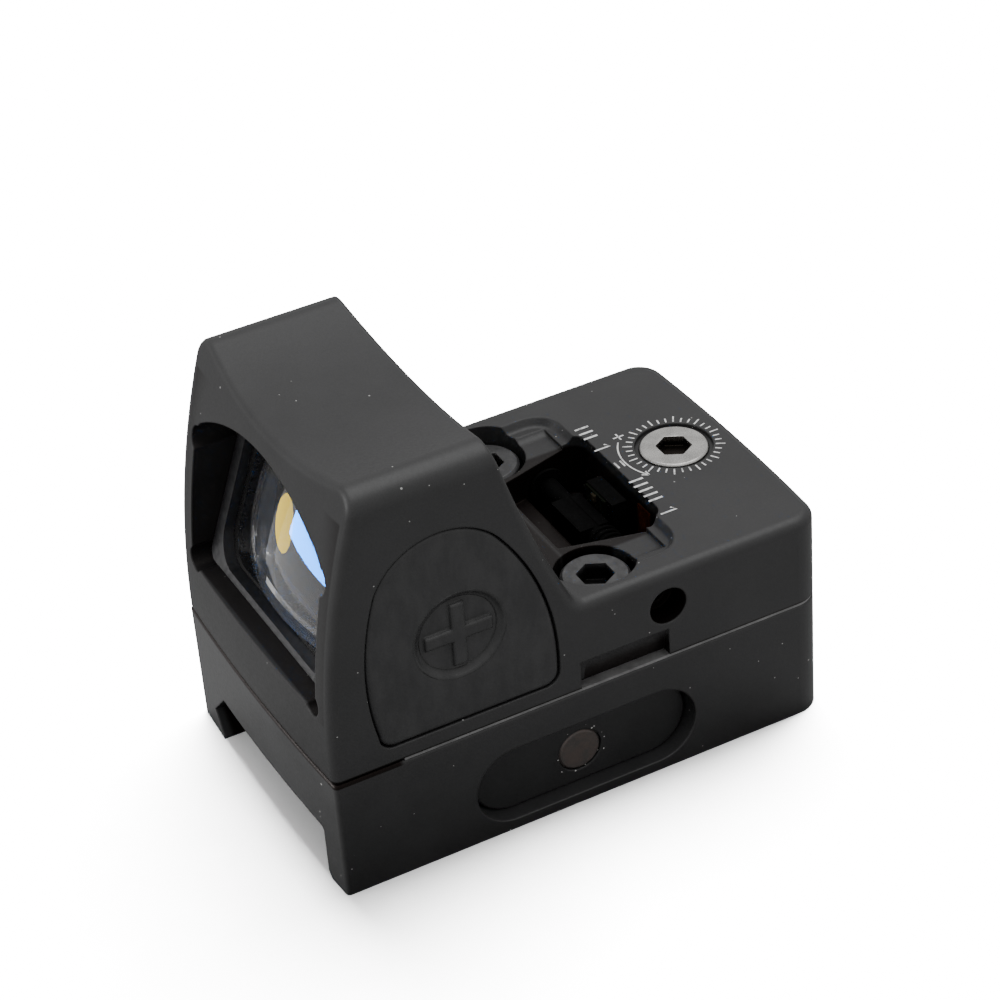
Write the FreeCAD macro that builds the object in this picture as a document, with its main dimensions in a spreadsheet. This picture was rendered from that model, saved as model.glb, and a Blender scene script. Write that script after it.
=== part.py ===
import FreeCAD, Part
import math
import os
import re
import Sketcher

# Red dot finder: a miniature open reflex sight on a low clamp base for a 21.2 mm cross-slot rail.
# Millimetres, +Z up. The lens faces -Y, the eye looks from +Y, the plus button is on +X.
# The origin is the centre of the footprint, on the surface that the base stands on.

# Driving dimensions, kept in the spreadsheet under these names.
DIMENSIONS = {
    # plan of base and housing
    "half_width": 14.05,
    "front_corner": -22.45,
    "rear_corner": 22.45,
    "end_bow": 0.45,
    "bow_radius": 219.6,
    "rear_corner_radius": 2.4,
    # heights
    "base_top": 11.3,
    "plate_thickness": 0.25,
    "housing_bottom": 11.55,
    "deck_top": 19.8,
    "hood_top": 37.0,
    "deck_edge_radius": 0.9,
    # rail channel and clamp
    "roof_height": 5.1,
    "wall_inner": 11.0,
    "jaw_apex": 10.95,
    "jaw_apex_height": 2.23,
    "slot_centre": -0.2,
    "slot_height": 4.55,
    "slot_length": 20.4,
    "slot_width": 7.2,
    "slot_floor": 10.95,
    "jaw_face": 12.6,
    "jaw_plate_inner": 11.15,
    "bolt_height": 4.12,
    "bolt_radius": 1.95,
    "bolt_head_radius": 3.2,
    "running_gap": 0.05,
    # hood
    "lean_radius": 80.0,
    "crown_radius": 45.8,
    "crown_low": 35.48,
    "ear_radius": 2.0,
    "hood_rear_top": -6.1,
    "hood_rear_foot": -0.15,
    "hood_rear_radius": 95.0,
    "hood_foot_radius": 1.2,
    "hood_edge_radius": 0.3,
    "front_edge_radius": 0.7,
    # window
    "window_half_width": 11.8,
    "window_bottom": 17.2,
    "window_top": 33.8,
    "window_arch_radius": 20.5,
    "window_corner_radius": 2.2,
    "tunnel_half_width": 10.4,
    "tunnel_top": 32.9,
    "sill_height": 18.7,
    "seat_foot": -17.32,
    "seat_tilt": 21.0,
    "retainer_foot": -20.91,
    "lens_front_radius": 27.0,
    "lens_thickness": 2.0,
    "lens_vertex": -18.15,
    "lens_height": 25.0,
    # emitter well, dishes and counterbores
    "well_front": 2.8,
    "well_rear": 11.75,
    "well_floor": 13.9,
    "dish_floor": 19.1,
    "screw_x": 9.4,
    "screw_y": 3.85,
    "screw_head_radius": 2.9,
    "screw_head_top": 18.4,
    "screw_seat": 15.8,
    "counterbore_radius": 3.45,
    "screw_radius": 1.7,
    "screw_bottom": 8.9,
    # adjusters
    "dial_x": -1.0,
    "dial_y": 17.45,
    "dial_radius": 2.94,
    "dial_bore_radius": 3.35,
    "dial_seat": 18.1,
    "cavity_top": 17.3,
    "arm_low": 14.95,
    "arm_height": 0.7,
    "windage_y": 7.83,
    "windage_z": 16.43,
    "windage_head_radius": 2.0,
    "windage_bore_radius": 2.35,
    "windage_shaft_radius": 0.9,
    "windage_seat": -12.55,
    "elevation_shaft_radius": 1.2,
    "side_hole_radius": 1.7,
    # buttons
    "button_recess": 1.25,
    "button_y": -10.6,
    "button_z": 21.25,
    "button_pad_radius": 3.62,
    "button_floor": 11.4,
    "button_back": 12.45,
    "button_face": 13.55,
    # battery
    "battery_y": -6.5,
    "battery_radius": 10.0,
    "battery_height": 3.2,
    "battery_pocket_radius": 10.3,
    "battery_pocket_top": 15.25,
}

ROLE = {"xy": "XY_Plane", "xz": "XZ_Plane", "yz": "YZ_Plane"}
LEFT, RIGHT = 1, -1

DOC = FreeCAD.newDocument("RedDotFinder")
SHEET = DOC.addObject("Spreadsheet::Sheet", "Sizes")


def fill_sheet():
    """Write every driving dimension to the sheet, one row each."""
    for row, (alias, number) in enumerate(DIMENSIONS.items(), start=1):
        SHEET.set(f"A{row}", alias)
        SHEET.set(f"B{row}", str(number))
        SHEET.setAlias(f"B{row}", alias)
    DOC.recompute()


def cell_text(text):
    """The expression with each dimension's name turned into its cell reference."""
    def named(match):
        word = match.group()
        return f"Sizes.{word}" if word in DIMENSIONS else word
    return re.sub(r"[a-z][a-z_]*", named, str(text))


def number(text):
    """The present value of an expression in the sheet's names."""
    return float(SHEET.evalExpression(cell_text(text)))


def bind(thing, **sizes):
    """Bind properties such as Length or Radius to expressions."""
    for prop, text in sizes.items():
        thing.setExpression(prop, cell_text(text))


def place(thing, position, rotation=None):
    """Give an object its placement, with the position bound to the sheet."""
    turn = rotation or FreeCAD.Rotation()
    start = FreeCAD.Vector(*[number(text) for text in position])
    thing.Placement = FreeCAD.Placement(start, turn)
    for axis, text in zip("xyz", position):
        thing.setExpression(f"Placement.Base.{axis}", cell_text(text))
    return thing


# ---------------------------------------------------------------- solids

AXIS_TURN = {
    "x": FreeCAD.Rotation(FreeCAD.Vector(0, 1, 0), 90),
    "y": FreeCAD.Rotation(FreeCAD.Vector(1, 0, 0), -90),
    "z": FreeCAD.Rotation(),
}


def box(name, corner, size):
    """A box from its low corner and its three sizes."""
    thing = DOC.addObject("Part::Box", name)
    bind(thing, Length=size[0], Width=size[1], Height=size[2])
    return place(thing, corner)


def cylinder(name, start, radius, length, axis="z"):
    """A cylinder from the centre of its first face, along +X, +Y or +Z."""
    thing = DOC.addObject("Part::Cylinder", name)
    bind(thing, Radius=radius, Height=length)
    return place(thing, start, AXIS_TURN[axis])


def cone(name, start, radius_first, radius_last, length, axis="z"):
    """A cone frustum along an axis."""
    thing = DOC.addObject("Part::Cone", name)
    bind(thing, Radius1=radius_first, Radius2=radius_last, Height=length)
    return place(thing, start, AXIS_TURN[axis])


def hexagon(name, start, across_flats, length, axis="z"):
    """A hexagonal prism, for sockets and nuts."""
    thing = DOC.addObject("Part::Prism", name)
    thing.Polygon = 6
    bind(thing, Circumradius=f"({across_flats}) / sqrt(3)", Height=length)
    return place(thing, start, AXIS_TURN[axis])


def sphere(name, centre, radius):
    thing = DOC.addObject("Part::Sphere", name)
    bind(thing, Radius=radius)
    return place(thing, centre)


def fuse(name, pieces):
    """One solid, or one group of solids, from several."""
    thing = DOC.addObject("Part::MultiFuse", name)
    thing.Shapes = pieces
    return thing


def cut(name, base, tools):
    """The base with every tool taken out of it."""
    tool = tools[0] if len(tools) == 1 else fuse(name + "_tools", tools)
    thing = DOC.addObject("Part::Cut", name)
    thing.Base = base
    thing.Tool = tool
    return thing


def common(name, pieces):
    thing = DOC.addObject("Part::MultiCommon", name)
    thing.Shapes = pieces
    return thing


def ring(name, start, outer, inner, length, axis="z"):
    """A washer or tube."""
    bore_start = list(start)
    index = "xyz".index(axis)
    bore_start[index] = f"({start[index]}) - 1"
    return cut(name, cylinder(name + "_rim", start, outer, length, axis),
               [cylinder(name + "_bore", bore_start, inner, f"({length}) + 2", axis)])


# ---------------------------------------------------------------- sketches and bodies

def new_body(name):
    return DOC.addObject("PartDesign::Body", name)


def sketch_in(body, name, plane, offset="0"):
    """A sketch on one of the body's own origin planes, moved along the plane's normal.

    Sketch x and y are X, Y on "xy", X, Z on "xz" (normal -Y) and Y, Z on "yz" (normal +X).
    """
    sketch = body.newObject("Sketcher::SketchObject", name)
    plane_feature = [f for f in body.Origin.OriginFeatures if f.Role == ROLE[plane]][0]
    sketch.AttachmentSupport = [(plane_feature, "")]
    sketch.MapMode = "FlatFace"
    sketch.setExpression("AttachmentOffset.Base.z", cell_text(offset))
    return sketch


def arc_between(first, last, radius, turn):
    """The short arc that leaves first and reaches last, curving left or right."""
    chord = math.dist(first, last)
    rise = math.sqrt(max(radius * radius - chord * chord / 4, 0))
    along = ((last[0] - first[0]) / chord, (last[1] - first[1]) / chord)
    centre = ((first[0] + last[0]) / 2 - turn * along[1] * rise,
              (first[1] + last[1]) / 2 + turn * along[0] * rise)
    start, end = (first, last) if turn == LEFT else (last, first)
    angles = [math.atan2(p[1] - centre[1], p[0] - centre[0]) for p in (start, end)]
    if angles[1] < angles[0]:
        angles[1] += 2 * math.pi
    circle = Part.Circle(FreeCAD.Vector(*centre, 0), FreeCAD.Vector(0, 0, 1), radius)
    return Part.ArcOfCircle(circle, angles[0], angles[1])


def outline(sketch, corners, arcs=None):
    """A closed outline through corners given as expressions.

    arcs maps a corner's index to (radius, turn) for the stretch that leaves it. Every corner's
    place and every radius is a constraint bound to the sheet.
    """
    arcs = arcs or {}
    points = [(number(x), number(y)) for x, y in corners]
    ends = []
    for index, first in enumerate(points):
        last = points[(index + 1) % len(points)]
        if index in arcs:
            radius, turn = arcs[index]
            edge = sketch.addGeometry(arc_between(first, last, number(radius), turn), False)
            bound = sketch.addConstraint(Sketcher.Constraint("Radius", edge, number(radius)))
            sketch.setExpression(f"Constraints[{bound}]", cell_text(radius))
            ends.append((edge, 1, 2) if turn == LEFT else (edge, 2, 1))
        else:
            line = Part.LineSegment(FreeCAD.Vector(*first, 0), FreeCAD.Vector(*last, 0))
            ends.append((sketch.addGeometry(line, False), 1, 2))
    for index, (edge, start, _) in enumerate(ends):
        before, _, before_end = ends[index - 1]
        sketch.addConstraint(Sketcher.Constraint("Coincident", before, before_end, edge, start))
        for kind, text in zip(("DistanceX", "DistanceY"), corners[index]):
            bound = sketch.addConstraint(
                Sketcher.Constraint(kind, -1, 1, edge, start, number(text)))
            sketch.setExpression(f"Constraints[{bound}]", cell_text(text))


def circle(sketch, x, y, radius):
    """A circle bound to the sheet."""
    shape = Part.Circle(FreeCAD.Vector(number(x), number(y), 0), FreeCAD.Vector(0, 0, 1),
                        number(radius))
    edge = sketch.addGeometry(shape, False)
    bound = sketch.addConstraint(Sketcher.Constraint("Radius", edge, number(radius)))
    sketch.setExpression(f"Constraints[{bound}]", cell_text(radius))
    for kind, text in (("DistanceX", x), ("DistanceY", y)):
        bound = sketch.addConstraint(Sketcher.Constraint(kind, -1, 1, edge, 3, number(text)))
        sketch.setExpression(f"Constraints[{bound}]", cell_text(text))


def obround(sketch, x, y, length, width):
    """A slot along the sketch's x axis, each round end drawn as two quarter arcs."""
    half = f"({width}) / 2"
    run = f"(({length} - {width}) / 2)"
    outline(sketch, [(f"{x} - {run}", f"{y} - {half}"), (f"{x} + {run}", f"{y} - {half}"),
                     (f"{x} + {run} + {half}", y), (f"{x} + {run}", f"{y} + {half}"),
                     (f"{x} - {run}", f"{y} + {half}"), (f"{x} - {run} - {half}", y)],
            {1: (half, LEFT), 2: (half, LEFT), 4: (half, LEFT), 5: (half, LEFT)})


def rounded_box(sketch, low, high, radius):
    """A rectangle with round corners, from its low and high corners."""
    (x0, y0), (x1, y1), r = low, high, radius
    outline(sketch, [(f"{x0} + {r}", y0), (f"{x1} - {r}", y0), (x1, f"{y0} + {r}"),
                     (x1, f"{y1} - {r}"), (f"{x1} - {r}", y1), (f"{x0} + {r}", y1),
                     (x0, f"{y1} - {r}"), (x0, f"{y0} + {r}")],
            {1: (r, LEFT), 3: (r, LEFT), 5: (r, LEFT), 7: (r, LEFT)})


def pad(body, sketch, length, reverse=False, middle=False):
    """Pad a sketch; along the plane's normal unless reversed."""
    feature = body.newObject("PartDesign::Pad", sketch.Name + "_pad")
    feature.Profile = sketch
    feature.setExpression("Length", cell_text(length))
    feature.Reversed = reverse
    feature.Midplane = middle
    body.Tip = feature
    return feature


def pocket(body, sketch, length, reverse=False, middle=False):
    """Pocket a sketch, and stop if it takes nothing away.

    A pocket cuts against the plane's normal unless it is reversed.
    """
    DOC.recompute()
    before = body.Shape.Volume
    feature = body.newObject("PartDesign::Pocket", sketch.Name + "_pocket")
    feature.Profile = sketch
    feature.setExpression("Length", cell_text(length))
    feature.Reversed = reverse
    feature.Midplane = middle
    body.Tip = feature
    DOC.recompute()
    if "Invalid" in sketch.State or feature.Shape.isNull() or body.Shape.Volume > before - 1e-3:
        raise RuntimeError(f"{feature.Name} cuts nothing")
    return feature


def round_edges(body, radius, wanted, chamfer=False):
    """Fillet or chamfer the edges of the body's shape that wanted(edge) picks."""
    DOC.recompute()
    names = [f"Edge{i}" for i, edge in enumerate(body.Shape.Edges, start=1) if wanted(edge)]
    kind = "Chamfer" if chamfer else "Fillet"
    before = body.Tip
    feature = body.newObject(f"PartDesign::{kind}", f"{body.Name}_{kind}")
    feature.Base = (before, names)
    feature.setExpression("Size" if chamfer else "Radius", cell_text(radius))
    body.Tip = feature
    DOC.recompute()
    if feature.Shape.isNull() or "Invalid" in feature.State:
        raise RuntimeError(f"{feature.Name} failed on {names}")
    return feature


def middle_of(edge):
    """The point half way along an edge."""
    first, last = edge.ParameterRange
    return edge.valueAt((first + last) / 2)


def upright(edge):
    """True for an edge parallel to Z."""
    ends = [vertex.Point for vertex in edge.Vertexes]
    if len(ends) < 2:
        return False
    step = ends[1] - ends[0]
    return abs(step.x) < 1e-6 and abs(step.y) < 1e-6


def prism(name, plane, offset, length, draw, middle=False, reverse=False):
    """A body that is one padded outline; draw(sketch) draws it."""
    body = new_body(name)
    sketch = sketch_in(body, name + "_outline", plane, offset)
    draw(sketch)
    pad(body, sketch, length, reverse, middle)
    return body


def mirrored(name, thing):
    """The same piece on the other side of the YZ plane."""
    copy = DOC.addObject("Part::Mirroring", name)
    copy.Source = thing
    copy.Normal = FreeCAD.Vector(1, 0, 0)
    return copy


# ---------------------------------------------------------------- outlines that several pieces share

def plan_outline(sketch, front="front_corner", inset="0"):
    """Plan of the base and housing: straight sides, gently bowed ends."""
    x = f"(half_width - {inset})"
    outline(sketch, [(f"-{x}", front), (x, front), (x, "rear_corner"), (f"-{x}", "rear_corner")],
            {0: ("bow_radius", LEFT), 2: ("bow_radius", LEFT)})


def window_outline(sketch, half_width, bottom, top, arch_radius, corner_radius, foot_radius):
    """Front view of the window: flat sill, straight sides, arched top, round corners.

    The upper corner arcs are tangent to the side and to the arch.
    """
    reach = f"({arch_radius} - {corner_radius})"
    inner = f"({half_width} - {corner_radius})"
    arch_centre = f"({top} - {arch_radius})"
    rise = f"sqrt({reach} * {reach} - {inner} * {inner})"
    touch_x = f"({inner} * {arch_radius} / {reach})"
    touch_z = f"({arch_centre} + {rise} * {arch_radius} / {reach})"
    foot = foot_radius
    outline(sketch,
            [(f"-{half_width} + {foot}", bottom), (f"{half_width} - {foot}", bottom),
             (half_width, f"{bottom} + {foot}"), (half_width, f"{arch_centre} + {rise}"),
             (touch_x, touch_z), (f"-{touch_x}", touch_z),
             (f"-{half_width}", f"{arch_centre} + {rise}"), (f"-{half_width}", f"{bottom} + {foot}")],
            {1: (foot, LEFT), 3: (corner_radius, LEFT), 4: (arch_radius, LEFT),
             5: (corner_radius, LEFT), 7: (foot, LEFT)})


def window_prism(name, inset, sizes=None, front="-26", length="22"):
    """A prism along Y with the window's outline, made smaller all round by inset.

    sizes replaces the outline's own (half width, bottom, top, arch, corner and foot radii).
    """
    own = ("window_half_width", "window_bottom", "window_top", "window_arch_radius",
           "window_corner_radius", "1.2")
    width, low, high, arch, corner, foot = sizes or own
    return prism(name, "xz", f"-({front})", length,
                 lambda s: window_outline(s, f"({width} - {inset})", f"({low} + {inset})",
                                          f"({high} - {inset})", f"({arch} - {inset})",
                                          f"({corner} - {inset} * 0.5)", f"({foot} - {inset} * 0.5)"),
                 reverse=True)


def tilted_slab(name, foot, tilt, start, thickness):
    """A wide slab that leans back by tilt degrees.

    Its front face lies start behind the leaning plane that meets the window's sill at Y = foot.
    """
    slab = DOC.addObject("Part::Box", name)
    bind(slab, Length="60", Width=thickness, Height="60")
    sine, cosine = f"sin({tilt} * 1 deg)", f"cos({tilt} * 1 deg)"
    turn = FreeCAD.Rotation(FreeCAD.Vector(-1, 0, 0), number(tilt))
    return place(slab, ("-30", f"{foot} + ({start}) * {cosine} - 20 * {sine}",
                        f"window_bottom - ({start}) * {sine} - 20 * {cosine}"), turn)


def button_outline(sketch, inset="0"):
    """The D-shaped rubber's outline, seen from the side: flat foot, bowed sides, round top."""
    foot, corner = f"(12.95 + {inset})", "1.3"
    outline(sketch,
            [(f"-17.0 + {inset}", foot), (f"-3.5 - {inset}", foot),
             (f"-2.2 - {inset}", f"{foot} + {corner}"), (f"-6.4 - {inset} * 0.8", f"28.7 - {inset} * 0.5"),
             (f"-17.6 + {inset} * 0.9", f"27.6 - {inset} * 0.4"),
             (f"-18.3 + {inset}", f"{foot} + {corner}")],
            {1: (corner, LEFT), 2: ("22", LEFT), 3: (f"6.45 - {inset}", LEFT),
             4: ("24", LEFT), 5: (corner, LEFT)})


# ---------------------------------------------------------------- base and clamp

def mount_base():
    """The low base: a block with the rail channel, the jaw's window and the bolt's bore."""
    body = new_body("mount_base_block")
    plan = sketch_in(body, "base_plan", "xy")
    plan_outline(plan)
    pad(body, plan, "base_top")
    round_edges(body, "rear_corner_radius", lambda e: upright(e) and middle_of(e).y > 0)
    round_edges(body, "0.4", lambda e: upright(e) and middle_of(e).y < -20)
    round_edges(body, "0.25", lambda e: middle_of(e).z > number("base_top") - 0.01)

    channel = sketch_in(body, "base_channel", "xz")
    outline(channel,
            [("-9.4", "-1"), ("-9.4", "0"), ("-jaw_apex", "jaw_apex_height"), ("-8.1", "roof_height"),
             ("wall_inner - 0.4", "roof_height"), ("wall_inner", "roof_height - 0.4"),
             ("wall_inner", "0.6"), ("wall_inner + 0.5", "0"), ("wall_inner + 0.5", "-1")],
            {4: ("0.4", RIGHT)})
    pocket(body, channel, "60", middle=True)

    window = sketch_in(body, "base_window", "yz", "half_width + 1")
    obround(window, "slot_centre", "slot_height", "slot_length", "slot_width")
    pocket(body, window, "half_width + 1 - slot_floor")

    bolt_bore = cylinder("base_bolt_bore", ("-half_width - 1", "slot_centre", "bolt_height"),
                         "bolt_radius + 2 * running_gap", "half_width + 1 + slot_floor + 0.2", "x")
    head_bore = cylinder("base_head_bore", ("-half_width - 1", "slot_centre", "bolt_height"),
                         "bolt_head_radius + 0.25", "3.2", "x")
    screw_bores = [cylinder(f"base_screw_bore_{side}", (f"{side} * screw_x", "screw_y", "8.6"),
                            "screw_radius + running_gap", "5") for side in ("1", "-1")]
    dowel_bores = [cylinder(f"base_dowel_bore_{i}", (x, y, "10.25"), "1.0 + running_gap", "3")
                   for i, (x, y) in enumerate(DOWEL_PLACES)]
    return cut("mount_base", body, [bolt_bore, head_bore] + screw_bores + dowel_bores)


DOWEL_PLACES = [("12.1", "-14.5"), ("-12.1", "-14.5"), ("12.1", "14.0"), ("-12.1", "14.0")]


def locating_dowels():
    """Four short pins that key the housing to the base."""
    return fuse("locating_dowels",
                [cylinder(f"dowel_{i}", (x, y, "10.3"), "1.0", "2.4")
                 for i, (x, y) in enumerate(DOWEL_PLACES)])


def clamp_jaw():
    """The moving jaw: an obround plate in the leg's window, with a V-grooved lip for the rail."""
    plate = prism("jaw_plate", "yz", "jaw_plate_inner", "jaw_face - jaw_plate_inner",
                  lambda s: obround(s, "slot_centre", "slot_height", "slot_length - 0.24",
                                    "slot_width - 0.24"))
    lip = box("jaw_lip", ("9.35", "slot_centre - 7.4", "1.2"), ("2.0", "14.8", "3.6"))
    groove = prism("jaw_groove", "xz", "0", "40",
                   lambda s: outline(s, [("10.6", "2.3"), ("8.6", "4.3"), ("8.6", "0.3")]), middle=True)
    bore = cylinder("jaw_bore", ("8", "slot_centre", "bolt_height"), "bolt_radius + running_gap", "6", "x")
    return cut("clamp_jaw", fuse("jaw_blank", [plate, lip]), [groove, bore])


def cross_bolt():
    """The bolt across the channel: cap head in the -X leg, threaded end in the jaw."""
    shank = cylinder("bolt_shank", ("-12.2", "slot_centre", "bolt_height"), "bolt_radius",
                     "12.2 + jaw_face - 0.22", "x")
    tip = cone("bolt_tip", ("jaw_face - 0.22", "slot_centre", "bolt_height"), "bolt_radius",
               "bolt_radius - 0.2", "0.2", "x")
    head = cylinder("bolt_head", ("-13.6", "slot_centre", "bolt_height"), "bolt_head_radius", "1.7", "x")
    crown = cone("bolt_crown", ("-13.9", "slot_centre", "bolt_height"), "bolt_head_radius - 0.3",
                 "bolt_head_radius", "0.3", "x")
    socket = hexagon("bolt_socket", ("-14.5", "slot_centre", "bolt_height"), "2.5", "1.8", "x")
    return cut("cross_bolt", fuse("bolt_blank", [shank, tip, head, crown]), [socket])


def sealing_plate():
    """Thin plate between base and housing; it stops short of the front corners."""
    def draw(sketch):
        x, step = "(half_width - 0.03)", "-16.3"
        outline(sketch,
                [("-11", "-18.9"), ("11", "-18.9"), ("11", step), (x, step),
                 (x, "rear_corner - rear_corner_radius"), (f"{x} - rear_corner_radius", "rear_corner + 0.1"),
                 (f"-{x} + rear_corner_radius", "rear_corner + 0.1"),
                 (f"-{x}", "rear_corner - rear_corner_radius"), (f"-{x}", step), ("-11", step)],
                {4: ("rear_corner_radius + 0.1", LEFT), 5: ("bow_radius", LEFT),
                 6: ("rear_corner_radius + 0.1", LEFT)})
    plate = prism("plate_blank", "xy", "base_top", "plate_thickness", draw)
    bores = [cylinder(f"plate_screw_bore_{side}", (f"{side} * screw_x", "screw_y", "base_top - 1"),
                      "screw_radius + 0.15", "3") for side in ("1", "-1")]
    bores += [cylinder(f"plate_dowel_bore_{i}", (x, y, "base_top - 1"), "1.0 + running_gap", "3")
              for i, (x, y) in enumerate(DOWEL_PLACES)]
    return cut("sealing_plate", plate, bores)


# ---------------------------------------------------------------- housing

def housing_shell():
    """The outer form: block, leaning bowed front, hood and deck, with rounded edges."""
    body = new_body("housing_form")
    plan = sketch_in(body, "housing_plan", "xy", "housing_bottom")
    outline(plan,
            [("-half_width", "-25"), ("half_width", "-25"), ("half_width", "rear_corner"),
             ("-half_width", "rear_corner")], {2: ("bow_radius", LEFT)})
    pad(body, plan, "hood_top + 1 - housing_bottom")
    round_edges(body, "rear_corner_radius", lambda e: upright(e) and middle_of(e).y > 0)

    front = "(front_corner - end_bow)"
    rise = "(hood_top + 2 - housing_bottom)"
    lean_back = f"(lean_radius - sqrt(lean_radius * lean_radius - {rise} * {rise}))"
    lean = sketch_in(body, "housing_lean", "yz")
    outline(lean,
            [(front, "housing_bottom - 1"), (front, "housing_bottom"),
             (f"{front} + {lean_back}", "hood_top + 2"), (f"{front} - 4", "hood_top + 2"),
             (f"{front} - 4", "housing_bottom - 1")],
            {1: ("lean_radius", RIGHT)})
    axis_y = f"{front} + bow_radius"
    axis = lean.addGeometry(Part.LineSegment(FreeCAD.Vector(number(axis_y), 0, 0),
                                             FreeCAD.Vector(number(axis_y), 40, 0)), True)
    for end, height in ((1, "0"), (2, "40")):
        for kind, text in (("DistanceX", axis_y), ("DistanceY", height)):
            bound = lean.addConstraint(Sketcher.Constraint(kind, -1, 1, axis, end, number(text)))
            lean.setExpression(f"Constraints[{bound}]", cell_text(text))
    DOC.recompute()
    sweep = body.newObject("PartDesign::Groove", "housing_lean_groove")
    sweep.Profile = lean
    sweep.ReferenceAxis = (lean, ["Axis0"])
    sweep.Angle = 16
    sweep.Midplane = True
    body.Tip = sweep

    rear = sketch_in(body, "housing_rear", "yz")
    outline(rear,
            [("hood_rear_top - 0.9", "hood_top + 1.5"), ("hood_rear_foot", "deck_top"),
             ("30", "deck_top"), ("30", "hood_top + 1.5")],
            {0: ("hood_rear_radius", LEFT)})
    pocket(body, rear, "60", middle=True)
    round_edges(body, "hood_foot_radius",
                lambda e: abs(middle_of(e).z - number("deck_top")) < 0.01
                and abs(middle_of(e).y - number("hood_rear_foot")) < 0.01)

    crown = sketch_in(body, "housing_crown", "xz")
    reach = "(half_width + 1)"
    edge_z = f"crown_low + crown_radius - sqrt(crown_radius * crown_radius - {reach} * {reach})"
    outline(crown,
            [(f"-{reach}", edge_z), (reach, edge_z), (reach, "hood_top + 4"), (f"-{reach}", "hood_top + 4")],
            {0: ("crown_radius", LEFT)})
    pocket(body, crown, "80", middle=True)
    round_edges(body, "ear_radius",
                lambda e: middle_of(e).z > number("hood_top") - 1 and abs(middle_of(e).x) > 13
                and -15 < middle_of(e).y < -9)

    rear_edges = rounding("housing_rear_rounding", body, [
        (lambda m: abs(m.z - number("deck_top")) < 0.01 and m.y > 2, "deck_edge_radius",
         "deck_edge_radius"),
        (lambda m: abs(m.x) > 14 and number("deck_top") + 0.1 < m.z < number("deck_top") + 0.5
         and m.y > -1.5, "deck_edge_radius", "hood_edge_radius"),
        (lambda m: m.z > number("deck_top") + 1 and m.y > -7.5 and abs(m.x) > 14, "hood_edge_radius",
         "hood_edge_radius")])
    return rounding("housing_shell", rear_edges, [
        (lambda m: m.y < -17 and m.z > 12, "front_edge_radius", "front_edge_radius")])


def rounding(name, base, picks):
    """A fillet whose radius may run from one value to another along an edge.

    picks holds (test of an edge's middle point, radius at its start, radius at its end).
    """
    DOC.recompute()
    edges = []
    for index, edge in enumerate(base.Shape.Edges, start=1):
        for wanted, first, last in picks:
            if wanted(middle_of(edge)):
                edges.append((index, number(first), number(last)))
                break
    thing = DOC.addObject("Part::Fillet", name)
    thing.Base = base
    thing.Edges = edges
    DOC.recompute()
    if thing.Shape.isNull() or not thing.Shape.isValid():
        raise RuntimeError(f"{name} failed on {edges}")
    return thing


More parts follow.
